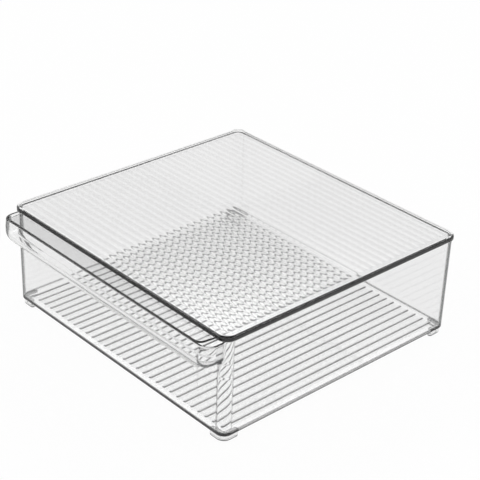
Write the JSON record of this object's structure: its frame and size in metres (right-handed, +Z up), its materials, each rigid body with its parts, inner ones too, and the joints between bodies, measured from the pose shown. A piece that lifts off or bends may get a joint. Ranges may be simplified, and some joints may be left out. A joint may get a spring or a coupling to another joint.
{
  "type": "fridge storage container",
  "caption": "Clear rectangular fridge storage bin with a flared front pull, ribbed floor, fluted lift-off lid and soft corner feet.",
  "frame": {"origin": "on the shelf, at the middle of the container's outer box", "axes": "+Z up from the shelf, -Y towards the front pull, +X to the right seen from the front"},
  "size_m": [0.3, 0.3, 0.105],
  "materials": {
    "clear_bin": "clear polished moulding",
    "clear_lid": "clear polished moulding",
    "clear_foot": "clear soft silicone"
  },
  "bodies": {
    "bin": {"bin": "clear_bin", "front_left_foot": "clear_foot", "front_right_foot": "clear_foot", "rear_left_foot": "clear_foot", "rear_right_foot": "clear_foot"},
    "lid": {"lid": "clear_lid"}
  },
  "joints": [
    {"name": "lid_lift", "type": "slide", "parent": "bin", "child": "lid", "axis": [0, 0, 1], "range_m": [0, 0.12]}
  ]
}
